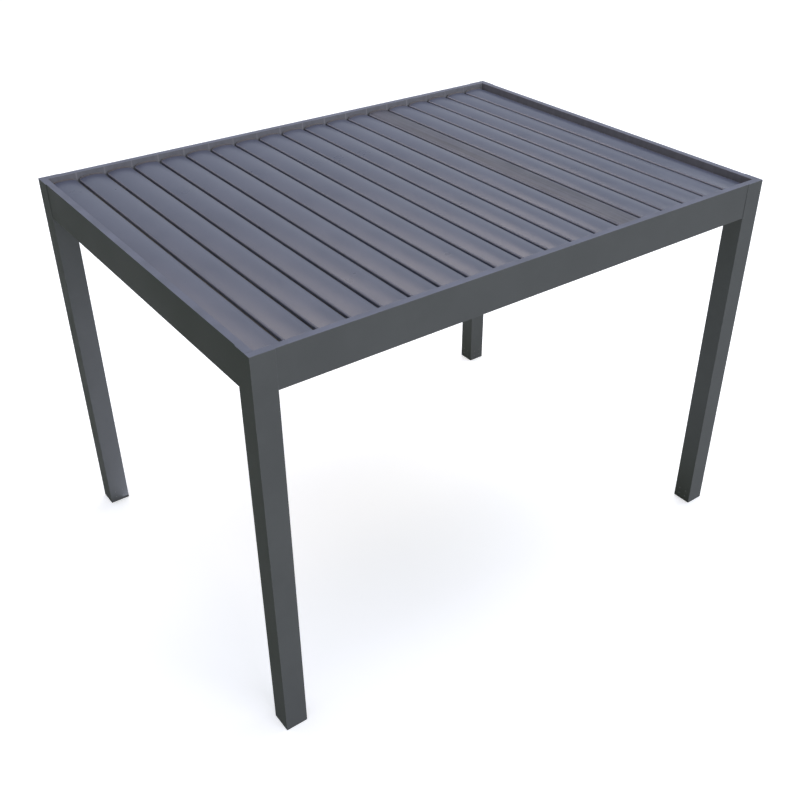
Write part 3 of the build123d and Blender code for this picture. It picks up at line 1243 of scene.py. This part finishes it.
@dataclass
class LouvreRow:
    """The row of louvres, with the screws of their caps, their seals and the bushes that they turn in."""

    half_width: float = 89.5 * MM
    crown: float = 31.0 * MM
    edge: float = 19.0 * MM
    cap: float = 12.0 * MM
    front_gap: float = 40.0 * MM
    back_gap: float = 7.0 * MM
    lip_reach: float = 80.0 * MM
    lip_rise: float = 7.5 * MM
    lip_thickness: float = 2.5 * MM
    lip_sink: float = 0.5 * MM
    lip_steps: int = 16
    cap_screws: tuple[tuple[float, float], ...] = ((-0.055, 0.008), (0.062, 0.006))
    screw: Head = Head(3.6 * MM, 1.8 * MM, sides=12)
    seal_radius: float = 1.6 * MM
    seal_offset: float = -85.4 * MM
    seal_inset: float = 6.0 * MM
    bush: Ring = Ring(6.4 * MM, 12.0 * MM, 3.0 * MM)
    clip: Ring = Ring(4.1 * MM, 6.6 * MM, 1.2 * MM, sides=16)
    shades: dict[int, Shade] = field(default_factory=lambda: {14: Shade.DULL})

    def pivots(self) -> dict[str, Vector]:
        """Return the pivot of each louvre's body, from the record's joints."""
        joints = [joint for joint in frame["joints"] if joint["name"].endswith("_tilt")]
        return {joint["child"]: Vector(joint["pos_m"]) for joint in joints}

    def arm(self) -> Vector:
        """Return the way from a louvre's pivot to its drive pin."""
        joint = next(j for j in frame["joints"] if j["child"] == "drive_bar")
        return Vector(joint["pos_m"]) - self.pivots()[joint["parent"]]

    def ends(self) -> tuple[float, float]:
        """Return the Y of the front and back ends of the louvres' blades."""
        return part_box("beam_front")[1].y + self.front_gap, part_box("beam_back")[0].y - self.back_gap

    def spacing(self) -> tuple[float, float]:
        """Return the X of the first pivot and the pitch of the row."""
        places = [pivot.x for pivot in self.pivots().values()]
        return places[0], (places[-1] - places[0]) / (len(places) - 1)

    def dress(self, finishes: Finishes) -> None:
        """Coat every louvre, by its shade.

        Args:
            finishes: The finishes built so far.
        """
        front, back = self.ends()
        level = next(iter(self.pivots().values())).z
        caps = Caps(front + self.cap, back - self.cap)
        marks = {"caps": caps, "row_edges": RowEdges(*self.spacing(), self.half_width, level)}
        plain = {"roughness": 0.3, "sheen_spread": 0.03, "dust": 0.03}
        dull = {"roughness": 0.42, "dust": 0.1, "streaks": 0.35}
        coats = {
            Shade.PLAIN: Coat("louvre_coat", finishes.louvre_grey, **plain, **marks),
            Shade.DULL: Coat("louvre_coat_dull", finishes.louvre_dull, **dull, **marks),
        }
        for number, body in enumerate(self.pivots(), start=1):
            dress(body, finishes.of(coats[self.shades.get(number, Shade.PLAIN)]))

    def _fasteners(self, pivot: Vector, makers: Makers, steel: Material) -> tuple[Job, Job]:
        """Set out the screws of one louvre's end caps and the clip on its drive pin.

        Args:
            pivot: The louvre's pivot.
            makers: The geometry trees.
            steel: The finish of both.

        Returns:
            The jobs for Makers.make.
        """
        screws = []
        for x, z in self.cap_screws:
            for place, side in zip(self.ends(), (-1, 1)):
                screws.append(((pivot.x + x, place, pivot.z + z), Axis.Y.turned(side)))
        arm = self.arm()
        pin = (pivot.x + arm.x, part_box("drive_bar")[0].y - self.clip.depth, pivot.z + arm.z)
        clip = [(pin, Axis.Y.turned(-1))]
        return makers.fittings(screws, self.screw, steel), makers.fittings(clip, self.clip, steel)

    def _lips(self, pivot: Vector, makers: Makers, finish: Material) -> list[Job]:
        """Set out the raised lip of both end caps, which keeps rain from running off the louvre's ends.

        Args:
            pivot: The louvre's pivot.
            makers: The geometry trees.
            finish: The lips' finish.

        Returns:
            The jobs for Makers.make.
        """
        radius = (self.half_width**2 + (self.crown - self.edge) ** 2) / (2 * (self.crown - self.edge))
        jobs = []
        for place, side in zip(self.ends(), (1.0, -1.0)):
            points = []
            for step in range(self.lip_steps + 1):
                x = side * self.lip_reach * (2 * step / self.lip_steps - 1)
                sunk = radius - math.sqrt(radius**2 - x**2) + self.lip_sink
                points.append((pivot.x + x, place, pivot.z + self.crown - sunk))
            values = {"Rise": self.lip_rise, "Thickness": side * self.lip_thickness, "Finish": finish}
            jobs.append((makers.plate, line_mesh(points), values))
        return jobs

    def fit(self, makers: Makers, finishes: Finishes) -> None:
        """Add each louvre's screws, clip, lips and seal on its own body, and the bushes of all pivots.

        Args:
            makers: The geometry trees.
            finishes: The finishes built so far.
        """
        front, back = self.ends()
        steel = finishes.stainless()
        for body, pivot in self.pivots().items():
            fasteners = self._fasteners(pivot, makers, steel)
            keep(makers.make(body + "_fasteners", *fasteners), body)
            lips = self._lips(pivot, makers, finishes.cast_cap())
            keep(makers.make(body + "_cap_lips", *lips), body)
            x = pivot.x + self.seal_offset
            line = line_mesh([(x, front + self.seal_inset, pivot.z), (x, back - self.seal_inset, pivot.z)])
            values = {"Radius": self.seal_radius, "Sides": 8, "Finish": finishes.rubber()}
            keep(makers.make(body + "_seal", (makers.bead, line, values)), body)
        walls = ((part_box("beam_front")[1].y, 1), (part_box("beam_back")[0].y, -1))
        places = [
            ((pivot.x, wall, pivot.z), Axis.Y.turned(side))
            for pivot in self.pivots().values()
            for wall, side in walls
        ]
        bushes = makers.fittings(places, self.bush, finishes.bearing())
        keep(makers.make("pivot_bushes", bushes), FRAME_BODY)


@dataclass
class Drive:
    """The bar that turns all the louvres, with a bearing ring at each pin."""

    ring: Ring = Ring(4.4 * MM, 7.4 * MM, 0.7 * MM, sides=20)

    def dress(self, finishes: Finishes) -> None:
        """Give the bar its bare aluminium, drawn along its length."""
        metal = Metal("drive_metal", (0.60, 0.61, 0.63), 0.34, (3.0, 700.0, 700.0))
        dress("drive_bar", finishes.of(metal))

    def fit(self, row: LouvreRow, makers: Makers, finishes: Finishes) -> None:
        """Add the bearing rings on the bar's front face.

        Args:
            row: The louvres, whose drive pins the rings go round.
            makers: The geometry trees.
            finishes: The finishes built so far.
        """
        arm = row.arm()
        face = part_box("drive_bar")[0].y
        places = [((p.x + arm.x, face, p.z + arm.z), Axis.Y.turned(-1)) for p in row.pivots().values()]
        rings = makers.fittings(places, self.ring, finishes.bearing())
        keep(makers.make("drive_bar_bearings", rings), "drive_bar")


@dataclass(frozen=True)
class Lamp:
    """A soft area lamp that looks at the middle of the roof, or at an aim of its own."""

    name: str
    place: Point
    size: tuple[float, float]
    radiance: float
    colour: Colour = (1.0, 1.0, 1.0)
    mirrored: bool = True
    shown: bool = True
    aim: Point | None = None

    def build(self, target: Vector) -> None:
        """Hang the lamp and turn it.

        Args:
            target: What it looks at if it has no aim of its own.
        """
        data = bpy.data.lights.new(self.name, "AREA")
        data.shape = "RECTANGLE"
        data.size, data.size_y = self.size
        data.energy = self.radiance * math.pi * data.size * data.size_y
        data.color = self.colour
        lamp = show(self.name, data)
        lamp.visible_glossy = self.mirrored
        lamp.visible_camera = self.shown
        lamp.location = self.place
        aim = target if self.aim is None else Vector(self.aim)
        lamp.rotation_euler = (aim - Vector(self.place)).to_track_quat("-Z", "Y").to_euler()


@dataclass
class Studio:
    """The plain pale floor, the soft light and the camera."""

    camera_place: Point = (-3.861, -5.353, 5.301)
    azimuth: float = -36.533
    elevation: float = 33.002
    lens: float = 45.08
    sensor: float = 36.0
    shift: tuple[float, float] = (-0.0151, -0.0079)
    far_clip: float = 200.0
    floor_reach: float = 45.0
    floor_drop: float = 1.0 * MM
    floor_colour: Colour = (0.89, 0.88, 0.85)
    bounce_colour: Colour = (0.42, 0.45, 0.26)
    floor_glow: Colour = (0.47, 0.465, 0.45)
    sky_low: Colour = (0.24, 0.26, 0.24)
    sky_high: Colour = (1.14, 1.24, 1.62)
    overhead: tuple[float, float] = (0.4, 0.95)
    from_left: tuple[float, float] = (-0.9, 0.2)
    from_front: tuple[float, float] = (-0.8, 0.1)
    shaded_side: Colour = (0.142, 0.158, 0.090)
    room_low: Colour = (0.76, 0.79, 0.85)
    room_high: Colour = (0.34, 0.42, 0.60)
    lamps: tuple[Lamp, ...] = (
        Lamp("key_softbox", (6.0, 1.0, 12.0), (8.0, 8.0), 2.9, (0.97, 0.98, 1.0)),
        Lamp("rear_strip", (1.8, 7.4, 10.7), (10.0, 2.2), 4.2, (1.0, 0.87, 0.79)),
        Lamp("front_fill", (2.0, -24.0, 5.2), (18.0, 10.0), 7.0, (0.98, 0.965, 1.14), mirrored=False),
        Lamp(
            "floor_glow",
            (-0.55, 0.0, 0.02),
            (2.7, 2.7),
            3.0,
            (1.0, 1.0, 1.2),
            mirrored=False,
            shown=False,
            aim=(-0.55, 0.0, 1.0),
        ),
    )

    def _camera(self) -> None:
        """Stand the camera where the photograph was taken from."""
        data = bpy.data.cameras.new("camera")
        data.lens = self.lens
        data.sensor_width = self.sensor
        data.shift_x, data.shift_y = self.shift
        data.clip_end = self.far_clip
        turn, rise = math.radians(self.azimuth), math.radians(self.elevation)
        back = Vector((math.sin(turn) * math.cos(rise), -math.cos(turn) * math.cos(rise), math.sin(rise)))
        camera = show("camera", data)
        camera.location = self.camera_place
        camera.rotation_euler = (-back).to_track_quat("-Z", "Y").to_euler()
        bpy.context.scene.camera = camera

    @staticmethod
    def _by_ray(graph: Graph, light: Socket, view: Socket) -> Socket:
        """Choose between what lights the gazebo and what shows behind it.

        Args:
            graph: The graph of the floor or the sky.
            light: The shader that diffuse rays meet.
            view: The shader for the camera's rays, and those of gloss and glass.

        Returns:
            The shader that each ray meets.
        """
        path = graph.add("ShaderNodeLightPath").outputs
        shown = graph.math("MAXIMUM", path["Is Camera Ray"], path["Is Glossy Ray"])
        shown = graph.math("MAXIMUM", shown, path["Is Transmission Ray"])
        return graph.first("ShaderNodeMixShader", {0: shown, 1: light, 2: view})

    def _floor(self) -> None:
        """Lay the floor, pale where it shows and darker in what it throws back on the gazebo."""
        corners = [(x * self.floor_reach, y * self.floor_reach, -self.floor_drop) for x, y in SQUARE]
        mesh = bpy.data.meshes.new("floor")
        mesh.from_pydata(corners, [], [(0, 1, 2, 3)])
        floor = show("floor", mesh)
        material = bpy.data.materials.new("floor")
        graph = Graph(emptied(material))
        pale = graph.first("ShaderNodeBsdfDiffuse", {"Color": self.floor_colour})
        glow = graph.first("ShaderNodeEmission", {"Color": self.floor_glow})
        bounce = graph.first("ShaderNodeBsdfDiffuse", {"Color": self.bounce_colour})
        surface = self._by_ray(graph, bounce, graph.first("ShaderNodeAddShader", {0: pale, 1: glow}))
        graph.add("ShaderNodeOutputMaterial", {"Surface": surface})
        mesh.materials.append(material)
        floor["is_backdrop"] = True

    def _sky(self) -> None:
        """Set the even light of the room, pale where it shows."""
        world = bpy.data.worlds.new("studio")
        bpy.context.scene.world = world
        graph = Graph(emptied(world))
        parts = graph.split(graph.add("ShaderNodeTexCoord").outputs["Generated"])
        height = graph.math("MAXIMUM", parts["Z"], 0.0)
        above = graph.span(parts["Z"], *self.overhead)
        left = graph.span(parts["X"], *self.from_left, above, 1.0)
        front = graph.span(parts["Y"], *self.from_front, above, 1.0)
        lit = graph.mix(graph.times(height, height), self.sky_low, self.sky_high)
        lit = graph.mix(graph.math("MINIMUM", left, front), self.shaded_side, lit)
        seen = graph.mix(height, self.room_low, self.room_high)
        light, room = (graph.first("ShaderNodeBackground", {"Color": colour}) for colour in (lit, seen))
        graph.add("ShaderNodeOutputWorld", {"Surface": self._by_ray(graph, light, room)})

    def build(self) -> None:
        """Set the whole studio."""
        bpy.context.scene.view_settings.view_transform = "Standard"
        low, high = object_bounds()
        target = Vector(((low.x + high.x) / 2, (low.y + high.y) / 2, high.z))
        self._camera()
        self._floor()
        self._sky()
        for lamp in self.lamps:
            lamp.build(target)


def main() -> None:
    """Build the gazebo's looks and the studio round it."""
    logging.basicConfig(level=logging.INFO, format="%(name)s: %(message)s")
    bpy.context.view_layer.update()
    finishes = Finishes(Effects())
    makers = Makers()
    row = LouvreRow()
    rim = PostsAndRim()
    rim.dress(finishes, row)
    rim.fix(makers, finishes)
    gutters = Gutters()
    gutters.dress(finishes)
    gutters.finish(makers, finishes)
    row.dress(finishes)
    row.fit(makers, finishes)
    drive = Drive()
    drive.dress(finishes)
    drive.fit(row, makers, finishes)
    Studio().build()


if __name__ == "__main__":
    main()
